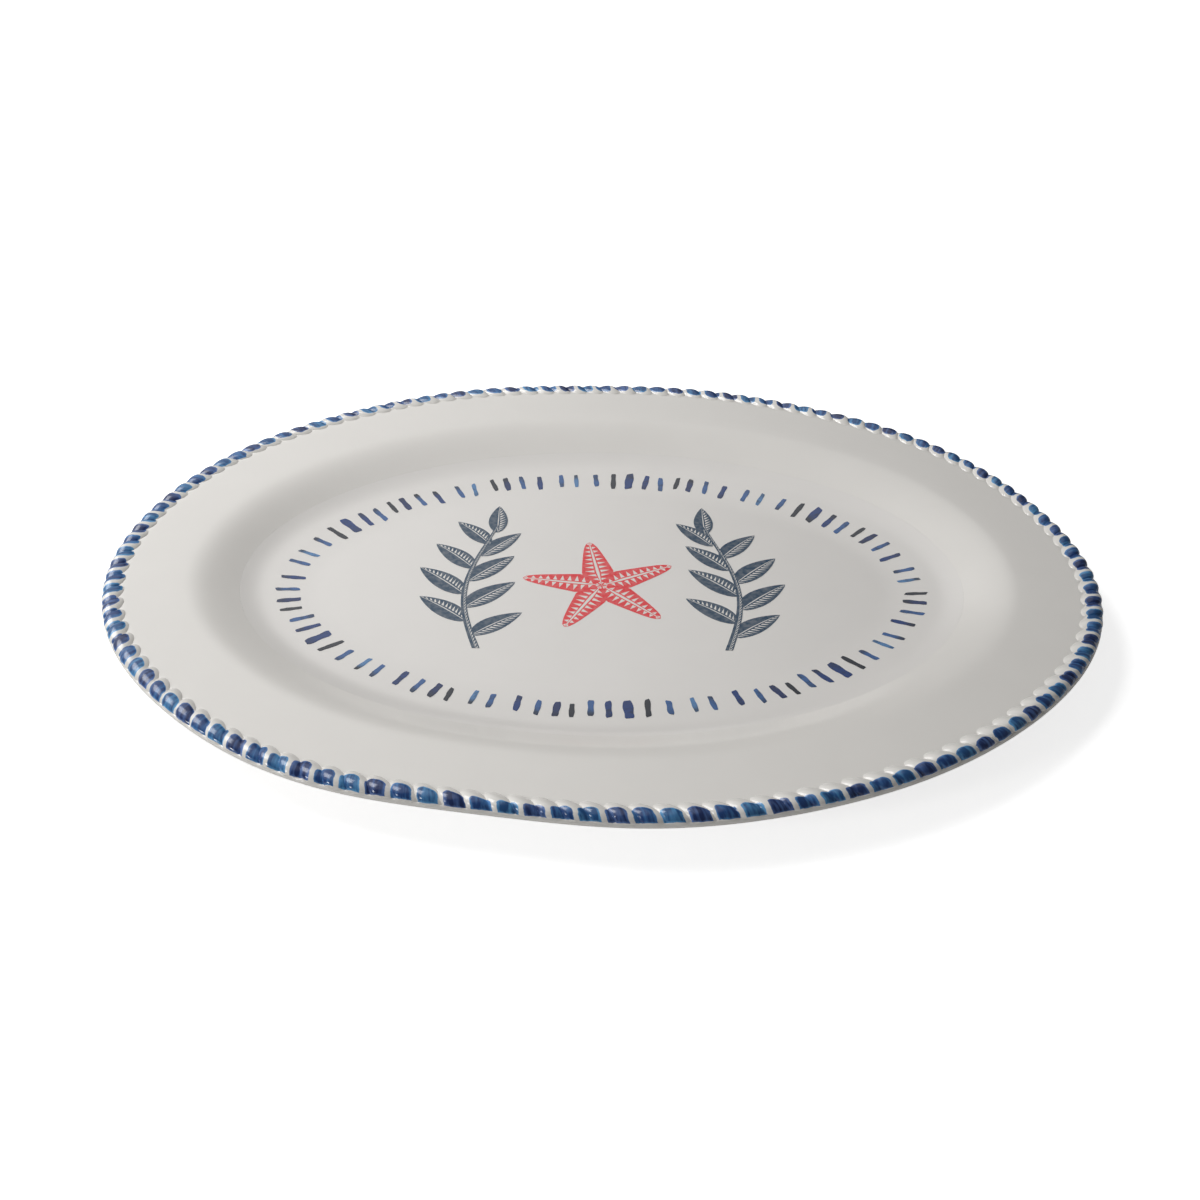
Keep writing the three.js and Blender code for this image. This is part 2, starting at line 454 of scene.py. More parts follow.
def lay_rope():
    """A straight tube with a ring of corners at each step of each strand, formed into strands round the
    rim. Its map runs along the rim and over the rope, for the brush strokes"""
    rim_run = measure_run(ROPE_CREST_INSET)
    rim_length = rim_run[1][-1]
    pitch = rim_length / STRANDS
    section = smooth_loop(np.array(ROPE_SECTION) * MM, SECTION_FINENESS)
    bpy.ops.object.select_all(action="DESELECT")
    bpy.ops.mesh.primitive_circle_add(vertices=len(section), radius=1, rotation=(0, math.pi / 2, 0))
    rope = bpy.context.object
    rope.name = "rope_border"
    rope.data.name = "rope_border"
    bpy.ops.object.transform_apply(location=False, rotation=True, scale=False)
    bpy.ops.object.mode_set(mode="EDIT")
    bpy.ops.mesh.select_all(action="SELECT")
    before = 0
    for phase in STRAND_STEPS:
        step = (pitch * (phase - before), 0, 0)
        bpy.ops.mesh.extrude_region_move(TRANSFORM_OT_translate={"value": step})
        before = phase
    bpy.ops.object.mode_set(mode="OBJECT")
    row = rope.modifiers.new("row of strands", "ARRAY")
    row.count = STRANDS
    row.use_relative_offset = False
    row.use_constant_offset = True
    row.constant_offset_displace = (pitch, 0, 0)
    row.use_merge_vertices = True
    row.merge_threshold = STRAND_SEAM_GAP
    bpy.ops.object.modifier_apply(modifier=row.name)

    spots = spots_of(rope)
    lap = spots[:, 0] / rim_length
    share = np.arctan2(spots[:, 2], spots[:, 1]) / (2 * math.pi)
    corner = np.rint(np.mod(share, 1) * len(section)).astype(int) % len(section)
    back, groove = section[corner, :2], section[corner, 2:]
    out = swell(np.mod(spots[:, 0] / pitch + PHASE_NUDGE, 1))
    inset, height = (groove + out[:, None] * (back - groove)).T
    over = running_length(section[:, :2])[corner]
    past_crest = over - ROPE_CREST_OVER
    along = spots[:, 0] + FIRST_GROOVE - math.tan(STRAND_SLANT) * past_crest
    along += STRAND_BUNCHING * np.sin(2 * math.pi * BUNCHES * lap)
    along -= STRAND_DRIFT * np.sin(2 * math.pi * lap)
    point, outward = on_oval(turn_at(rim_run, along))
    put_spots(rope, np.column_stack([point - outward * inset[:, None], height]))

    shares, reaches = np.array(STROKE_REACH).T
    reach = np.interp(along / rim_length, shares, reaches * MM, period=1)
    reached = (over - STROKE_FROM) / (reach - STROKE_FROM)
    arch = STROKE_ARCH * out * np.clip(1 - STROKE_ARCH_FADE * reached, 1 - STROKE_ARCH_FADE, 1)
    across = along + math.tan(STROKE_SLANT) * past_crest
    brush_run = rope.data.uv_layers.new(name="brush_run")
    fill_map(rope, brush_run, np.stack([across, reached * STROKE_LENGTH - arch], -1))
    bpy.ops.object.mode_set(mode="EDIT")
    close_piece()
    form_rim(rope)
    return rope, rim_length


# Prints in the well: strips of film shaped row by row
NARROWEST_HALF = 0.02 * MM
STRIP_COLUMNS = 4


def print_strip(length, rows, half_width, sway=None):
    """Flat strip along Y from the origin, each row drawn to its own width and moved aside by its sway.
    Its map runs along the strip in metres and across it from -1 to 1"""
    bpy.ops.object.select_all(action="DESELECT")
    bpy.ops.mesh.primitive_grid_add(x_subdivisions=STRIP_COLUMNS, y_subdivisions=rows, size=2)
    strip = bpy.context.object
    bpy.ops.object.mode_set(mode="EDIT")
    bpy.ops.transform.resize(value=(1, length / 2, 1))
    bpy.ops.transform.translate(value=(0, length / 2, 0))
    bpy.ops.object.mode_set(mode="OBJECT")
    print_run = strip.data.uv_layers.active
    print_run.name = "print_run"
    fill_map(strip, print_run, spots_of(strip)[:, [1, 0]])
    bpy.ops.object.mode_set(mode="EDIT")
    row_reach = 0.1 * length / rows
    for row in range(rows + 1):
        share = row / rows
        at = length * share
        select_where(strip, lambda spot: abs(spot.y - at) < row_reach)
        width = max(half_width(share), NARROWEST_HALF)
        bpy.ops.transform.resize(value=(width, 1, 1), center_override=(0, at, 0))
        if sway:
            bpy.ops.transform.translate(value=(sway(share), 0, 0))
    bpy.ops.object.mode_set(mode="OBJECT")
    return strip


def join_prints(name, strips):
    """Makes one piece of strips that are in their place, with the thickness of a print"""
    bpy.ops.object.select_all(action="DESELECT")
    for strip in strips:
        strip.select_set(True)
    bpy.context.view_layer.objects.active = strips[0]
    bpy.ops.object.join()
    piece = bpy.context.object
    piece.name = name
    piece.data.name = name
    film = piece.modifiers.new("film", "SOLIDIFY")
    film.thickness = PRINT_THICKNESS
    film.offset = -1
    bpy.ops.object.modifier_apply(modifier=film.name)
    return piece


def copy_of(strip):
    """A second strip with a mesh of its own"""
    twin = bpy.data.objects.new(strip.name, strip.data.copy())
    bpy.context.collection.objects.link(twin)
    return twin


# Ring of brush dashes, closer together on the long sides: three repeats, each a long and a short run
DASH_INSET = 71.4 * MM
DASH_REPEATS = 3
FIRST_DASH = 0.0632
LONG_RUN_SHARE = 0.603
DASH_BUNCHING = 2.55 * MM
DASH_DRIFT = 0.8 * MM
DASH_DRIFT_START = 0.2
DASH_INKS = {
    "navy": "#33487c",
    "blue": "#46689c",
    "pale blue": "#5c86b4",
    "charcoal": "#3c3f46",
    "ink": "#36426a",
}
# Ink, width, length and inset of each mark and the gap before it, in millimetres
DASH_OPENING = (
    ("navy", 3.7, 11.6, 71.5, 7.7),
    ("charcoal", 2.2, 11.4, 72, 7.5),
    ("blue", 2.2, 9, 71.5, 8.3),
    ("pale blue", 1.9, 9.3, 71.8, 9.5),
    ("blue", 2.1, 9.2, 71.4, 7.1),
    ("navy", 2.3, 9.9, 72.2, 10.4),
    ("blue", 2.1, 9.6, 70.8, 8.2),
    ("ink", 2.6, 9.5, 70.8, 7.3),
    ("charcoal", 2, 8.8, 70.4, 6),
)
DASH_CLOSING = (("blue", 2.3, 10.2, 72.4, 7.3), ("navy", 2.4, 10.6, 71.8, 7))
LONG_RUN = DASH_OPENING + DASH_OPENING[3:] + DASH_CLOSING
SHORT_RUN = DASH_OPENING + DASH_CLOSING
# Shape of a mark: squarish ends, and the most that the brush bows, tilts, frays and slants its ends
DASH_ROWS = 14
DASH_END_WIDTH = 0.7
DASH_SQUARENESS = 12
DASH_BOW = 0.25 * MM
DASH_TILT = 0.05
DASH_FRAY = 0.1
DASH_RIPPLE = 9
DASH_CUT = 0.5
# Ink pools at one end of a mark, more often at the outer one
WET_OUTER_END = 0.7
LEAST_POOL = 0.2
POOL_FROM = 0.5
POOL_FULL = 0.9


def brush_dashes():
    """Three repeats round the well, each a long and a short run of dashes"""
    def half_width(share):
        return max(DASH_END_WIDTH, math.sqrt(1 - abs(2 * share - 1) ** DASH_SQUARENESS))

    mark = print_strip(1, DASH_ROWS, half_width)
    ring = measure_run(DASH_INSET)
    strips = []
    for repeat in range(DASH_REPEATS):
        for run, start, end in ((LONG_RUN, 0, LONG_RUN_SHARE), (SHORT_RUN, LONG_RUN_SHARE, 1)):
            span = sum(gap for *_, gap in run)
            passed = 0
            for number, (ink, width, length, inset, gap) in enumerate(run):
                passed += gap if number else 0
                share = start + (end - start) * passed / span
                lap = FIRST_DASH + (repeat + share) / DASH_REPEATS
                strips.append(lay_dash(mark, ring, lap, ink, width * MM, length * MM, inset * MM))
    bpy.data.objects.remove(mark)
    dashes = join_prints("well_dashes", strips)
    form_rim(dashes)
    return dashes


def lay_dash(mark, ring, lap, ink, width, length, inset):
    """One dash across the ring, with the wobble and tilt of a brush, and ink pooled at one of its ends"""
    dash = copy_of(mark)
    spots = spots_of(mark)
    side, share = spots[:, 0].copy(), spots[:, 1].copy()
    run = ring[1][-1] * lap + DASH_BUNCHING * math.sin(2 * math.pi * BUNCHES * lap)
    run += DASH_DRIFT * math.sin(2 * math.pi * (lap + DASH_DRIFT_START))
    point, outward = on_oval(np.array(turn_at(ring, run)))
    tangent = np.array([-outward[1], outward[0]])
    bow = random.uniform(-1, 1) * DASH_BOW
    tilt = random.uniform(-1, 1) * DASH_TILT
    frayed = 1 + DASH_FRAY * np.sin(DASH_RIPPLE * share + random.uniform(0, 6))
    cut = random.uniform(-1, 1) * DASH_CUT * width / 2
    along = (share - 0.5) * length + cut * side
    across = side * frayed * width / 2 + bow * np.cos(math.pi * share) + tilt * along
    spots[:, :2] = point + outward * (along - inset)[:, None] + tangent * across[:, None]
    spots[:, 2] = dish_top(inset - along) + FOIL_PROUD + PRINT_LIFT
    put_spots(dash, spots)
    wet_end = share if random.random() < WET_OUTER_END else 1 - share
    pooled = random.uniform(LEAST_POOL, 1) * ease(wet_end, POOL_FROM, POOL_FULL)
    ink, pool = np.array(linear(DASH_INKS[ink])), np.array(linear(DASH_INKS["charcoal"]))
    tint = dash.data.color_attributes.new("ink", "FLOAT_COLOR", "POINT")
    tint.data.foreach_set("color", (ink + pooled[:, None] * (pool - ink)).ravel())
    return dash


def place_strip(strip, turn, x, y, lift):
    """Turns a strip about its root and lays it on the floor of the well"""
    spots = spots_of(strip)
    across, along = spots[:, 0].copy(), spots[:, 1].copy()
    spots[:, 0] = CENTRE[0] + x + across * math.cos(turn) - along * math.sin(turn)
    spots[:, 1] = CENTRE[1] + y + across * math.sin(turn) + along * math.cos(turn)
    spots[:, 2] = FLOOR_TOP + FOIL_PROUD + lift
    put_spots(strip, spots)
    return strip


# Starfish in the middle of the well: its arms widen from the centre to the waist and narrow to a round tip
STAR_ARMS = 5
STAR_REACH = 33 * MM
STAR_WAIST = 11.5 * MM
STAR_TURN = math.radians(9)
STAR_SHIFT = -1 * MM
ARM_ROWS = 26
ARM_TAPER = 0.68
ARM_HOLLOW = 1.1
ARM_TIP = 9


def print_starfish():
    """Five arms that meet along their edges; each narrows to a round tip"""
    wedge = math.tan(math.pi / STAR_ARMS)
    waist = STAR_WAIST * math.cos(math.pi / STAR_ARMS) / STAR_REACH

    def half_width(share):
        if share <= waist:
            return wedge * share * STAR_REACH
        out = (share - waist) / (1 - waist)
        narrowed = (1 - ARM_TAPER * out ** ARM_HOLLOW) * math.sqrt(1 - out ** ARM_TIP)
        return wedge * waist * STAR_REACH * narrowed

    arms = []
    for arm in range(STAR_ARMS):
        strip = print_strip(STAR_REACH, ARM_ROWS, half_width)
        turn = STAR_TURN + 2 * math.pi * arm / STAR_ARMS
        arms.append(place_strip(strip, turn, 0, STAR_SHIFT, PRINT_LIFT))
    return join_prints("well_starfish", arms)


# Sprays of seaweed on both sides of it: a stem that bends and tapers, and blades along most of it, longest
# in its lower half, that open less towards the top. Each blade lies on a level of its own, under the stem
SPRAY_LENGTH = 90 * MM
SPRAY_PLACE = 49 * MM
STEM_ROWS = 30
STEM_HALF = 1.5 * MM
STEM_TAPER = 0.6
STEM_BEND = 7 * MM
STEM_BEND_TURN = 1.2 * math.pi
STEM_WITH_BLADES = 0.93
BLADES = 9
BLADE_ROWS = 16
FIRST_BLADE = 0.1
BLADE_LENGTH = 28 * MM
BLADE_SHORTENING = 10 * MM
LONGEST_BLADE = 0.4
BLADE_WIDTH = 0.19
BLADE_FULLNESS = 0.8
BLADE_CURL = 3 * MM
BLADE_OPENING = math.radians(46)
BLADE_CLOSING = math.radians(16)
BLADE_LIFT = 0.01 * MM


def print_seaweed():
    """Two upright sprays, each a bending stem with blades on alternate sides"""
    strips = []
    for side in (-1, 1):
        def bend(share, side=side):
            return side * STEM_BEND * math.sin(STEM_BEND_TURN * share)

        def stem_half(share):
            return (1 - STEM_TAPER * share) * STEM_HALF

        stem = print_strip(SPRAY_LENGTH, STEM_ROWS, stem_half, bend)
        root_x, root_y = side * SPRAY_PLACE, -SPRAY_LENGTH / 2
        strips.append(place_strip(stem, 0, root_x, root_y, PRINT_LIFT + BLADES * BLADE_LIFT))
        for blade in range(BLADES):
            share = FIRST_BLADE + (1 - FIRST_BLADE) * blade / (BLADES - 1)
            hand = 0 if blade == BLADES - 1 else (1 if blade % 2 else -1)
            length = BLADE_LENGTH - BLADE_SHORTENING * abs(share - LONGEST_BLADE)

            def half_width(along, length=length):
                return BLADE_WIDTH * length * math.sin(math.pi * along ** BLADE_FULLNESS) ** BLADE_FULLNESS

            def curl(along, hand=hand):
                return -hand * BLADE_CURL * along ** 2

            strip = print_strip(length, BLADE_ROWS, half_width, curl)
            turn = (BLADE_OPENING - BLADE_CLOSING * share) * hand
            x, y = root_x + bend(share), root_y + SPRAY_LENGTH * share * STEM_WITH_BLADES
            strips.append(place_strip(strip, turn, x, y, PRINT_LIFT + blade * BLADE_LIFT))
    return join_prints("well_seaweed", strips)


# Materials: all have the same gloss and the same slight unevenness of the mould
MELAMINE_IOR = 1.5
MELAMINE_SPECULAR = 0.5
MELAMINE_ROUGHNESS = 0.16
WAVE_SIZE = 45 * MM
SKIN_SIZE = 4 * MM
CLOUD_SIZE = 18 * MM
ROPE_WHITE = "#eae7e2"
PRINT_GROUND = "#e6e3de"


def start_material(name):
    material = bpy.data.materials.new(name)
    material.use_nodes = True
    material.node_tree.nodes.clear()
    return material, material.node_tree


def glossy_finish(tree, colour, bump):
    """The hard clear gloss that all of the platter has, over the given colour"""
    shader = node(tree, "ShaderNodeBsdfPrincipled", {
        "Base Color": colour,
        "Roughness": MELAMINE_ROUGHNESS,
        "IOR": MELAMINE_IOR,
        "Specular IOR Level": MELAMINE_SPECULAR,
        "Normal": bump,
    })
    node(tree, "ShaderNodeOutputMaterial", {"Surface": shader.outputs["BSDF"]})


def moulded_surface(tree):
    """Slight unevenness of a pressed and polished face: long soft waves and a fine skin. Gives the place
    on the object and the normal"""
    place = node(tree, "ShaderNodeTexCoord").outputs["Object"]
    waves = node(tree, "ShaderNodeTexNoise", {"Vector": place, "Scale": 1 / WAVE_SIZE, "Detail": 1})
    skin = node(tree, "ShaderNodeTexNoise", {"Vector": place, "Scale": 1 / SKIN_SIZE, "Detail": 2})
    rolled = node(tree, "ShaderNodeBump", {
        "Height": waves.outputs["Fac"], "Strength": 0.35, "Distance": 0.5 * MM})
    bump = node(tree, "ShaderNodeBump", {
        "Height": skin.outputs["Fac"], "Strength": 0.15, "Distance": 0.05 * MM,
        "Normal": rolled.outputs["Normal"]})
    return place, bump.outputs["Normal"]


def white_melamine(name, light, shade):
    """Moulded melamine: warm white right through, glossy from the polished mould, with a faint
    cloudiness"""
    material, tree = start_material(name)
    place, bump = moulded_surface(tree)
    cloud = node(tree, "ShaderNodeTexNoise", {"Vector": place, "Scale": 1 / CLOUD_SIZE, "Detail": 3})
    tone = node(tree, "ShaderNodeMix", {
        0: cloud.outputs["Fac"], 6: linear(shade), 7: linear(light)}, data_type="RGBA")
    glossy_finish(tree, tone.outputs[2], bump)
    return material


# Brush paint: the size and reach of a stroke's frayed outline, the round corners of its inner end, how
# much the strokes differ in length, and how far in from its outline a stroke covers and is thick
FRAY_SIZE = 3.5 * MM
FRAY_REACH = (1.1 * MM, 1.6 * MM, 0)
STROKE_CORNER = 2.6 * MM
STROKE_SPREAD = 1.2 * MM
PAINT_COVERS = 0.25 * MM
PAINT_THICK = 1.3 * MM
# Streaks of the bristles, how much more paint the thick middle holds, and how much paint looks soaked
STREAK_WIDTH = 1.7 * MM
STREAK_LENGTH = 10 * MM
MIDDLE_LOAD = 0.3
SOAKED_FROM = 0.45
SOAKED_FULL = 0.85
# Light, dark and mid blue in turn
THIN_PAINT = ("#62a4d8", "#5a7cb8", "#548cc6")
SOAKED_PAINT = ("#224e80", "#1c2e5c", "#1f4076")


def brushed_rope(name, rim_length):
    """Moulded melamine rope with blue brush strokes fused in: light, dark and mid blue in turn, each
    streaked along the brush and paler where the paint thins at its edges"""
    material, tree = start_material(name)
    _, bump = moulded_surface(tree)
    run = node(tree, "ShaderNodeUVMap", uv_map="brush_run").outputs["UV"]
    frayed = node(tree, "ShaderNodeTexNoise", {"Vector": run, "Scale": 1 / FRAY_SIZE, "Detail": 2})
    off_line = node(tree, "ShaderNodeVectorMath", {
        0: frayed.outputs["Color"], 1: (0.5, 0.5, 0.5)}, operation="SUBTRACT")
    wobble = node(tree, "ShaderNodeVectorMath", {
        0: off_line.outputs[0], 1: FRAY_REACH, 2: run}, operation="MULTIPLY_ADD")
    brush = node(tree, "ShaderNodeSeparateXYZ", {0: wobble.outputs[0]})
    pitch = rim_length / STROKES
    count = node(tree, "ShaderNodeMath", {
        0: brush.outputs["X"], 1: 1 / pitch, 2: 0.5 - FIRST_STROKE}, operation="MULTIPLY_ADD")
    number = node(tree, "ShaderNodeMath", {0: count.outputs[0]}, operation="FLOOR")
    within = node(tree, "ShaderNodeMath", {0: count.outputs[0]}, operation="FRACT")
    third = node(tree, "ShaderNodeMath", {0: number.outputs[0], 1: 3}, operation="FLOORED_MODULO")
    hue = node(tree, "ShaderNodeMath", {
        0: third.outputs[0], 1: 1 / 3, 2: 1 / 6}, operation="MULTIPLY_ADD")
    hand = node(tree, "ShaderNodeTexWhiteNoise", {"W": number.outputs[0]}, noise_dimensions="1D")
    end_at = node(tree, "ShaderNodeMath", {
        0: hand.outputs["Value"], 1: STROKE_SPREAD, 2: STROKE_LENGTH - STROKE_SPREAD / 2 - STROKE_CORNER},
        operation="MULTIPLY_ADD")

    side = node(tree, "ShaderNodeMath", {0: within.outputs[0], 1: 0.5}, operation="SUBTRACT")
    aside = node(tree, "ShaderNodeMath", {0: side.outputs[0]}, operation="ABSOLUTE")
    half = STROKE_SHARE * pitch / 2
    past_side = node(tree, "ShaderNodeMath", {
        0: aside.outputs[0], 1: pitch, 2: STROKE_CORNER - half}, operation="MULTIPLY_ADD")
    past_end = node(tree, "ShaderNodeMath", {
        0: brush.outputs["Y"], 1: end_at.outputs[0]}, operation="SUBTRACT")
    beyond_side = node(tree, "ShaderNodeMath", {0: past_side.outputs[0], 1: 0}, operation="MAXIMUM")
    beyond_end = node(tree, "ShaderNodeMath", {0: past_end.outputs[0], 1: 0}, operation="MAXIMUM")
    reach = node(tree, "ShaderNodeCombineXYZ", {0: beyond_side.outputs[0], 1: beyond_end.outputs[0]})
    from_corner = node(tree, "ShaderNodeVectorMath", {0: reach.outputs[0]}, operation="LENGTH")
    inside = node(tree, "ShaderNodeMath", {
        0: STROKE_CORNER, 1: from_corner.outputs["Value"]}, operation="SUBTRACT")
    depth = node(tree, "ShaderNodeMath", {
        0: inside.outputs[0], 1: brush.outputs["Y"]}, operation="MINIMUM")
    painted = node(tree, "ShaderNodeMapRange", {
        "Value": depth.outputs[0], "From Max": PAINT_COVERS}, interpolation_type="SMOOTHSTEP")
    thick = node(tree, "ShaderNodeMapRange", {
        "Value": depth.outputs[0], "From Max": PAINT_THICK}, interpolation_type="SMOOTHSTEP")

    bristles = node(tree, "ShaderNodeMapping", {
        "Vector": run, "Scale": (1 / STREAK_WIDTH, 1 / STREAK_LENGTH, 1)})
    streak = node(tree, "ShaderNodeTexNoise", {"Vector": bristles.outputs[0], "Scale": 1, "Detail": 2})
    load = node(tree, "ShaderNodeMath", {
        0: thick.outputs[0], 1: MIDDLE_LOAD, 2: streak.outputs["Fac"]}, operation="MULTIPLY_ADD")
    soaked = node(tree, "ShaderNodeMapRange", {
        "Value": load.outputs[0], "From Min": SOAKED_FROM, "From Max": SOAKED_FULL})
    tones = []
    for colours in (THIN_PAINT, SOAKED_PAINT):
        ramp = node(tree, "ShaderNodeValToRGB", {0: hue.outputs[0]})
        ramp.color_ramp.interpolation = "CONSTANT"
        ramp.color_ramp.elements[0].color = linear(colours[0])
        ramp.color_ramp.elements[1].position = 1 / 3
        ramp.color_ramp.elements[1].color = linear(colours[1])
        ramp.color_ramp.elements.new(2 / 3).color = linear(colours[2])
        tones.append(ramp.outputs["Color"])
    paint = node(tree, "ShaderNodeMix", {0: soaked.outputs[0], 6: tones[0], 7: tones[1]}, data_type="RGBA")
    cover = node(tree, "ShaderNodeMix", {
        0: painted.outputs[0], 6: linear(ROPE_WHITE), 7: paint.outputs[2]}, data_type="RGBA")
    glossy_finish(tree, cover.outputs[2], bump)
    return material


POOL_SIZE = 3 * MM
POOL_INK = "#32363f"


def dash_ink(name):
    """Printed brush ink: it has the tint of its mark, and is pooled dark at places along it"""
    material, tree = start_material(name)
    place, bump = moulded_surface(tree)
    tint = node(tree, "ShaderNodeAttribute", attribute_name="ink").outputs["Color"]
    pools = node(tree, "ShaderNodeTexNoise", {"Vector": place, "Scale": 1 / POOL_SIZE, "Detail": 2})
    pooled = node(tree, "ShaderNodeMapRange", {
        "Value": pools.outputs["Fac"], "From Min": 0.5, "From Max": 0.72, "To Max": 0.6})
    dark = node(tree, "ShaderNodeMix", {
        0: pooled.outputs[0], 6: tint, 7: linear(POOL_INK)}, data_type="RGBA")
    glossy_finish(tree, dark.outputs[2], bump)
    return material


# Cut block: veins start beside the rib and taper towards the edge, as shares of the strip's half width
# and of the veins' spacing. The ink wears thin in places
VEIN_START = 0.2
VEIN_TAPER_FROM = 0.25
VEIN_TAPER_END = 0.85
VEIN_WIDTH = 0.3
CUT_EDGE = 0.05
WEAR_SIZE = 2 * MM
WEAR = 0.14


def linocut_ink(name, ink, vein_spacing, vein_slant, rib, both_sides):
    """Print from a cut block: flat ink with a cut rib, and veins cut on one side of it or on both, where
    the white foil shows through"""
    material, tree = start_material(name)
    place, bump = moulded_surface(tree)
    run = node(tree, "ShaderNodeUVMap", uv_map="print_run").outputs["UV"]
    rough = node(tree, "ShaderNodeTexNoise", {"Vector": place, "Scale": 1 / WEAR_SIZE, "Detail": 2})
    strip = node(tree, "ShaderNodeSeparateXYZ", {0: run})
    aside = node(tree, "ShaderNodeMath", {0: strip.outputs["Y"]}, operation="ABSOLUTE")
    slanted = node(tree, "ShaderNodeMath", {
        0: aside.outputs[0], 1: -vein_slant, 2: strip.outputs["X"]}, operation="MULTIPLY_ADD")
    counted = node(tree, "ShaderNodeMath", {
        0: slanted.outputs[0], 1: 1 / vein_spacing}, operation="MULTIPLY")
    within = node(tree, "ShaderNodeMath", {0: counted.outputs[0]}, operation="FRACT")
    centred = node(tree, "ShaderNodeMath", {0: within.outputs[0], 1: 0.5}, operation="SUBTRACT")
    from_vein = node(tree, "ShaderNodeMath", {0: centred.outputs[0]}, operation="ABSOLUTE")
    cut_side = aside.outputs[0] if both_sides else strip.outputs["Y"]
    taper = node(tree, "ShaderNodeMapRange", {
        "Value": cut_side, "From Min": VEIN_TAPER_FROM, "From Max": VEIN_TAPER_END,
        "To Min": VEIN_WIDTH, "To Max": 0})
    in_vein = node(tree, "ShaderNodeMath", {
        0: taper.outputs[0], 1: from_vein.outputs[0]}, operation="SUBTRACT")
    past_rib = node(tree, "ShaderNodeMath", {0: cut_side, 1: VEIN_START}, operation="GREATER_THAN")
    vein = node(tree, "ShaderNodeMath", {
        0: in_vein.outputs[0], 1: past_rib.outputs[0]}, operation="MULTIPLY")
    in_rib = node(tree, "ShaderNodeMath", {0: rib, 1: aside.outputs[0]}, operation="SUBTRACT")
    cut = node(tree, "ShaderNodeMath", {0: vein.outputs[0], 1: in_rib.outputs[0]}, operation="MAXIMUM")
    shown = node(tree, "ShaderNodeMapRange", {
        "Value": cut.outputs[0], "From Max": CUT_EDGE}, interpolation_type="SMOOTHSTEP")
    worn = node(tree, "ShaderNodeMapRange", {
        "Value": rough.outputs["Fac"], "From Min": 0.35, "From Max": 0.75, "To Max": WEAR})
    inked = node(tree, "ShaderNodeMix", {
        0: worn.outputs[0], 6: linear(ink), 7: linear(PRINT_GROUND)}, data_type="RGBA")
    print_colour = node(tree, "ShaderNodeMix", {
        0: shown.outputs[0], 6: inked.outputs[2], 7: linear(PRINT_GROUND)}, data_type="RGBA")
    glossy_finish(tree, print_colour.outputs[2], bump)
    return material


# The platter
melamine = white_melamine("White moulded melamine", "#ece9e4", "#e8e5e0")
foil_white = white_melamine("Melamine foil sheet", "#ebe8e4", "#e7e4e0")
red_ink = linocut_ink("Red block print ink", "#e4343c", 3 * MM, 0.5 * MM, 0.12, both_sides=True)
slate_ink = linocut_ink("Slate block print ink", "#27435b", 1.9 * MM, 3 * MM, 0.07, both_sides=False)
rope, rim_length = lay_rope()
painted_melamine = brushed_rope("Melamine with fused brush strokes", rim_length)
keep_piece(press_dish(), melamine, "platter_body")
keep_piece(turn_foot(), melamine, "foot_ring")
keep_piece(rope, painted_melamine, "rope_edging")
keep_piece(lay_foil(), foil_white, "well_foil")
keep_piece(brush_dashes(), dash_ink("Brush ink under melamine"))
keep_piece(print_starfish(), red_ink)
keep_piece(print_seaweed(), slate_ink)

# Studio: a floor of matt white paper that takes a soft shadow and is pure white for the camera beyond it
FLOOR_RADIUS = 4
FLOOR_SIDES = 96
FLOOR_GAP = 0.05 * MM
NEAR_GLOW = 0.75
GLOW_RISES_FROM = 0.25
GLOW_FULL = 0.5

bpy.ops.object.select_all(action="DESELECT")
bpy.ops.mesh.primitive_circle_add(
    vertices=FLOOR_SIDES, radius=FLOOR_RADIUS, fill_type="NGON", location=(0, 0, -FLOOR_GAP))
bpy.ops.object.transform_apply(location=True, rotation=False, scale=False)
floor = bpy.context.object
floor.name = "studio_floor"
paper, tree = start_material("White paper floor")
matt = node(tree, "ShaderNodeBsdfDiffuse", {"Color": linear("#ececec")})
place = node(tree, "ShaderNodeTexCoord").outputs["Object"]
away = node(tree, "ShaderNodeVectorMath", {0: place}, operation="LENGTH")
whiteness = node(tree, "ShaderNodeMapRange", {
    "Value": away.outputs["Value"], "From Min": GLOW_RISES_FROM, "From Max": GLOW_FULL,
    "To Min": NEAR_GLOW, "To Max": 1})
glow = node(tree, "ShaderNodeEmission", {"Color": (1, 1, 1, 1), "Strength": whiteness.outputs[0]})
seen = node(tree, "ShaderNodeLightPath")
both = node(tree, "ShaderNodeAddShader", {0: matt.outputs[0], 1: glow.outputs[0]})
paper_look = node(tree, "ShaderNodeMixShader", {
    0: seen.outputs["Is Camera Ray"], 1: matt.outputs[0], 2: both.outputs[0]})
node(tree, "ShaderNodeOutputMaterial", {"Surface": paper_look.outputs[0]})
floor.data.materials.append(paper)

# A little light from all round, and a white wall high at the back left, with a soft edge, that is seen
# only in the gloss of the platter: the direction it lies in, and the cosines where it starts and is full
FILL_LIGHT = 0.13
WALL_LIGHT = 0.87
WALL_DIRECTION = (-0.5, 0.4, 0.77)
WALL_STARTS = 0.6
WALL_FULL = 0.82

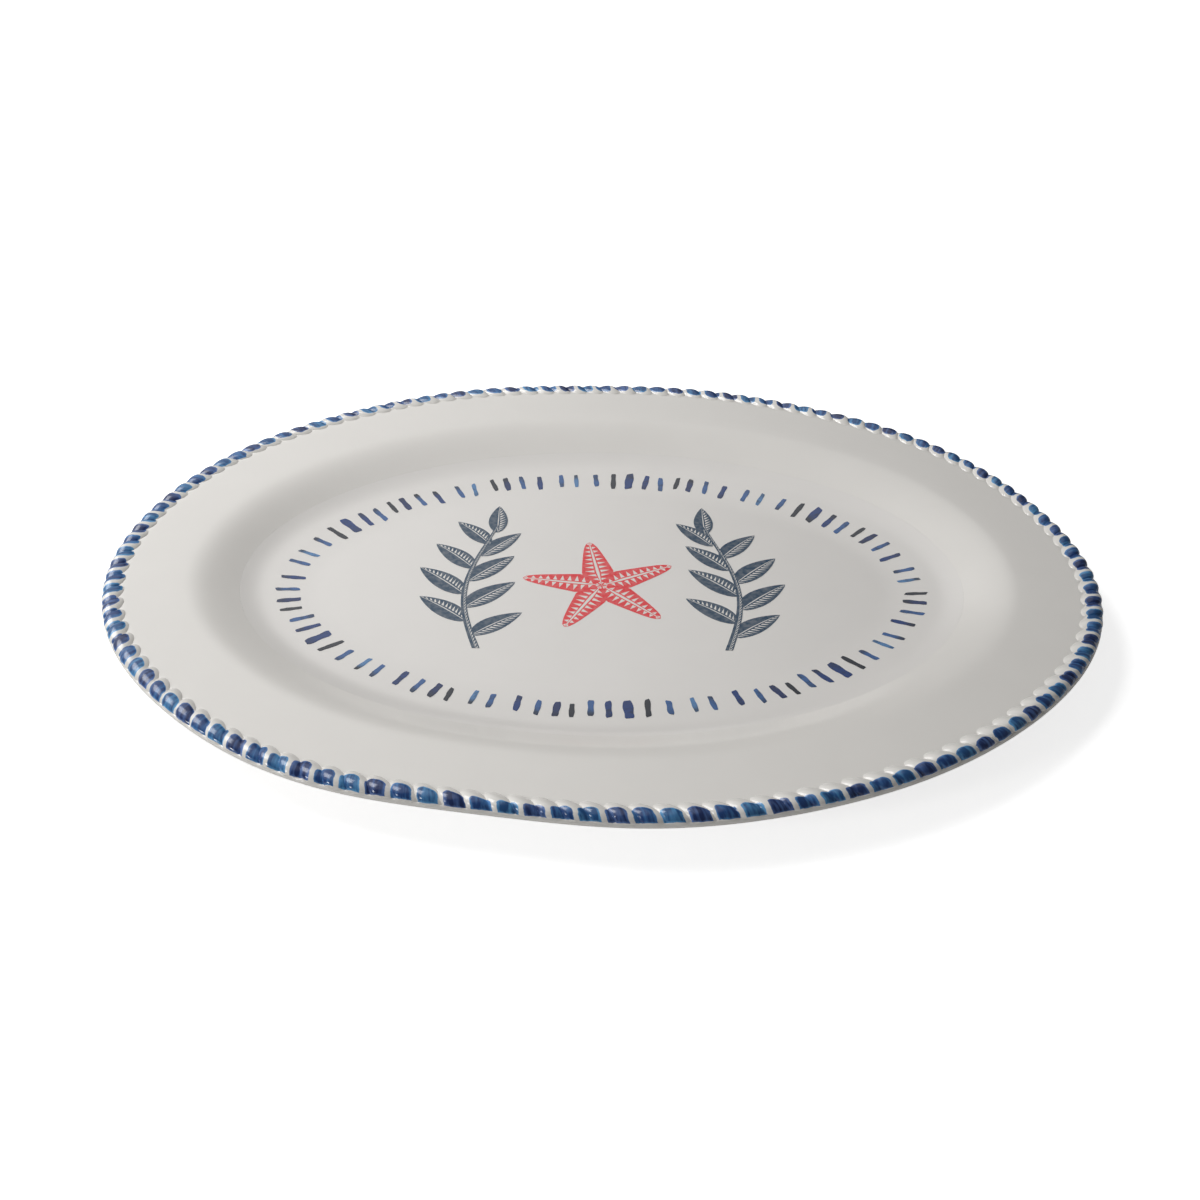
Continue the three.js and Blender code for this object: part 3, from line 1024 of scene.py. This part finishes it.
world = bpy.data.worlds.new("studio")
bpy.context.scene.world = world
world.use_nodes = True
tree = world.node_tree
tree.nodes.clear()
seen = node(tree, "ShaderNodeLightPath")
shows = node(tree, "ShaderNodeMath", {
    0: seen.outputs["Is Camera Ray"], 1: seen.outputs["Is Transmission Ray"]}, operation="MAXIMUM")
ray = node(tree, "ShaderNodeTexCoord").outputs["Generated"]
towards = node(tree, "ShaderNodeVectorMath", {0: ray, 1: WALL_DIRECTION}, operation="DOT_PRODUCT")
wall = node(tree, "ShaderNodeMapRange", {
    "Value": towards.outputs["Value"], "From Min": WALL_STARTS, "From Max": WALL_FULL,
    "To Max": WALL_LIGHT}, interpolation_type="SMOOTHSTEP")
strength = node(tree, "ShaderNodeMath", {
    0: wall.outputs[0], 1: seen.outputs["Is Glossy Ray"], 2: FILL_LIGHT}, operation="MULTIPLY_ADD")
fill = node(tree, "ShaderNodeBackground", {"Color": (1, 1, 1, 1), "Strength": strength.outputs[0]})
white = node(tree, "ShaderNodeBackground", {"Color": (1, 1, 1, 1), "Strength": 1})
sky = node(tree, "ShaderNodeMixShader", {0: shows.outputs[0], 1: fill.outputs[0], 2: white.outputs[0]})
node(tree, "ShaderNodeOutputWorld", {"Surface": sky.outputs[0]})

# A soft lamp from the left and a low one from the front left: name, place, the spot it points at, size,
# spread in degrees and power
LAMPS = (
    ("soft_box", (-0.7, 0.34, 0.86), (-0.18, 0.03, 0), 0.8, 86, 3.1),
    ("low_lamp", (-0.8, -0.65, 0.38), (0, 0, 0), 0.17, 180, 2.0),
)
for name, place, target, size, spread, power in LAMPS:
    bpy.ops.object.light_add(type="AREA", location=place)
    lamp = bpy.context.object
    lamp.name = name
    lamp.data.shape = "SQUARE"
    lamp.data.size = size
    lamp.data.spread = math.radians(spread)
    lamp.data.energy = power
    lamp.rotation_euler = (Vector(target) - Vector(place)).to_track_quat("-Z", "Y").to_euler()

# Camera, as it stood over the platter: the point that it looks at, its distance and its height over the
# horizon, its roll, the turn of the platter on the table, and its lens in pixels of the picture
LOOK_AT = Vector((-5.52, -25.84, 15)) * MM
CAMERA_DISTANCE = 582.45 * MM
CAMERA_ELEVATION = math.radians(34.749)
CAMERA_ROLL = math.radians(0.789)
PLATTER_TURN = math.radians(0.4264)
FOCAL_PIXELS = 1480.81
PHOTO_PIXELS = 1200
OPTICAL_CENTRE = (587.97, 600.12)
SENSOR_WIDTH = 36

bpy.ops.object.camera_add()
camera = bpy.context.object
camera.name = "camera"
back = Vector((0, -math.cos(CAMERA_ELEVATION), math.sin(CAMERA_ELEVATION)))
level = Vector((1, 0, 0))
upright = level.cross(-back)
right = math.cos(CAMERA_ROLL) * level + math.sin(CAMERA_ROLL) * upright
up = math.cos(CAMERA_ROLL) * upright - math.sin(CAMERA_ROLL) * level
stand = Matrix.Translation(LOOK_AT + CAMERA_DISTANCE * back)
turned = Matrix((right, up, back)).transposed().to_4x4()
camera.matrix_world = (
    Matrix.Translation((*CENTRE, 0)) @ Matrix.Rotation(-PLATTER_TURN, 4, "Z") @ stand @ turned)
camera.data.sensor_width = SENSOR_WIDTH
camera.data.lens = SENSOR_WIDTH * FOCAL_PIXELS / PHOTO_PIXELS
camera.data.shift_x = 0.5 - OPTICAL_CENTRE[0] / PHOTO_PIXELS
camera.data.shift_y = OPTICAL_CENTRE[1] / PHOTO_PIXELS - 0.5
camera.data.clip_start = 0.01
bpy.context.scene.camera = camera
bpy.context.scene.view_settings.view_transform = "Standard"
